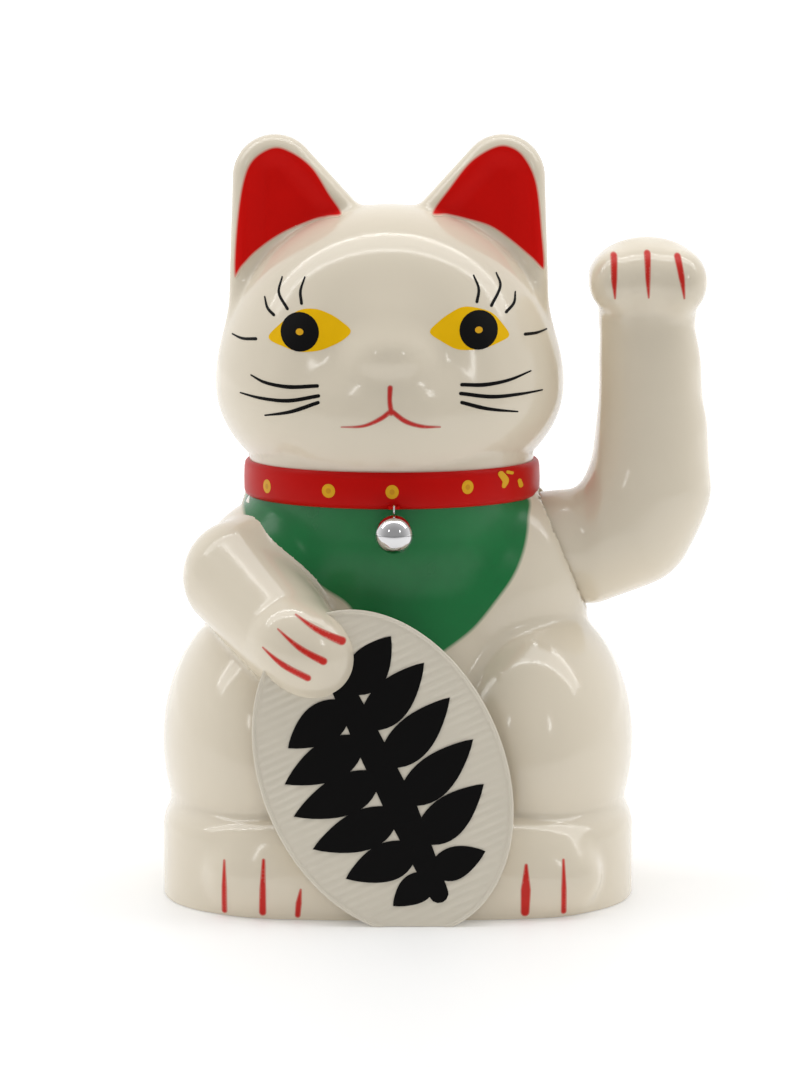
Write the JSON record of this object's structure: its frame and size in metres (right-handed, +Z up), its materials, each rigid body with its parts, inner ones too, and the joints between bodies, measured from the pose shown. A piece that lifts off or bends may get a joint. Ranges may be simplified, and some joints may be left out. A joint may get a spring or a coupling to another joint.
{
  "type": "beckoning cat figurine",
  "caption": "Hollow moulded seated cat figurine with a swinging raised arm on a hidden pendulum drive, a leaning oval coin and a hanging bell.",
  "frame": {"origin": "on the ground, at the centre of the standing face under the body, in the plane of the body's moulding seam", "axes": "+Z up to the ear tips, -Y the way the cat looks, +X towards the raised arm"},
  "size_m": [0.1458, 0.1122, 0.1994],
  "materials": {
    "cream_plastic": "injection-moulded, high gloss, with sprayed and pad-printed details",
    "coin_plastic": "injection-moulded, gloss, fine ribbing, printed black motif",
    "screw_steel": "zinc-plated steel",
    "weight_iron": "pressed iron block",
    "magnet": "nickel-plated magnet",
    "cell_jacket": "plain printed jacket",
    "bright_nickel": "bright nickel plate",
    "brass": "turned brass",
    "black_plastic": "moulded",
    "board_laminate": "solder-masked laminate",
    "white_plastic": "moulded acetal",
    "enamelled_copper": "enamelled copper wire",
    "red_insulation": "insulated lead",
    "black_insulation": "insulated lead",
    "white_insulation": "insulated lead"
  },
  "bodies": {
    "body": {"front_shell": "cream_plastic", "rear_shell": "cream_plastic", "base_plate": "cream_plastic", "coin_plaque": "coin_plastic", "base_screw_1": "screw_steel", "base_screw_2": "screw_steel", "base_screw_3": "screw_steel", "base_screw_4": "screw_steel", "board_screw_1": "screw_steel", "board_screw_2": "screw_steel", "frame_screw_1": "screw_steel", "frame_screw_2": "screw_steel", "battery_cell": "cell_jacket", "contact_spring": "bright_nickel", "bell_staple": "bright_nickel", "contact_plate": "brass", "inner_bush": "brass", "outer_bush": "brass", "switch_body": "black_plastic", "capacitor": "black_plastic", "driver_chip": "black_plastic", "drive_board": "board_laminate", "pivot_frame": "white_plastic", "coil_bobbin": "white_plastic", "coil_winding": "enamelled_copper", "lead_red": "red_insulation", "lead_black": "black_insulation", "lead_switch": "white_insulation"},
    "arm": {"arm_front_shell": "cream_plastic", "arm_rear_shell": "cream_plastic", "arm_hub": "white_plastic", "pivot_shaft": "screw_steel", "shaft_clip": "screw_steel", "pendulum_lever": "white_plastic", "drive_magnet": "magnet", "counterweight": "weight_iron"},
    "bell_ring": {"bell_ring": "bright_nickel"},
    "bell": {"bell_upper_shell": "bright_nickel", "bell_lower_shell": "bright_nickel", "bell_pellet": "screw_steel"},
    "switch": {"switch_knob": "black_plastic"},
    "door": {"battery_door": "cream_plastic"}
  },
  "joints": [
    {"name": "arm_swing", "type": "hinge", "parent": "body", "child": "arm", "pos_m": [0.05, 0, 0.09], "axis": [1, 0, 0], "range_deg": [-20, 20]},
    {"name": "bell_ring_swing", "type": "hinge", "parent": "body", "child": "bell_ring", "pos_m": [-0.001, -0.0423, 0.1048], "axis": [-1, 0, 0], "range_deg": [-4, 45]},
    {"name": "bell_sway", "type": "hinge", "parent": "bell_ring", "child": "bell", "pos_m": [-0.001, -0.0423, 0.1035], "axis": [0, 1, 0], "range_deg": [-25, 25]},
    {"name": "switch_slide", "type": "slide", "parent": "body", "child": "switch", "axis": [1, 0, 0], "range_m": [0, 0.004]},
    {"name": "door_hinge", "type": "hinge", "parent": "body", "child": "door", "pos_m": [0, -0.0241, 0.0003], "axis": [1, 0, 0], "range_deg": [0, 80]}
  ]
}
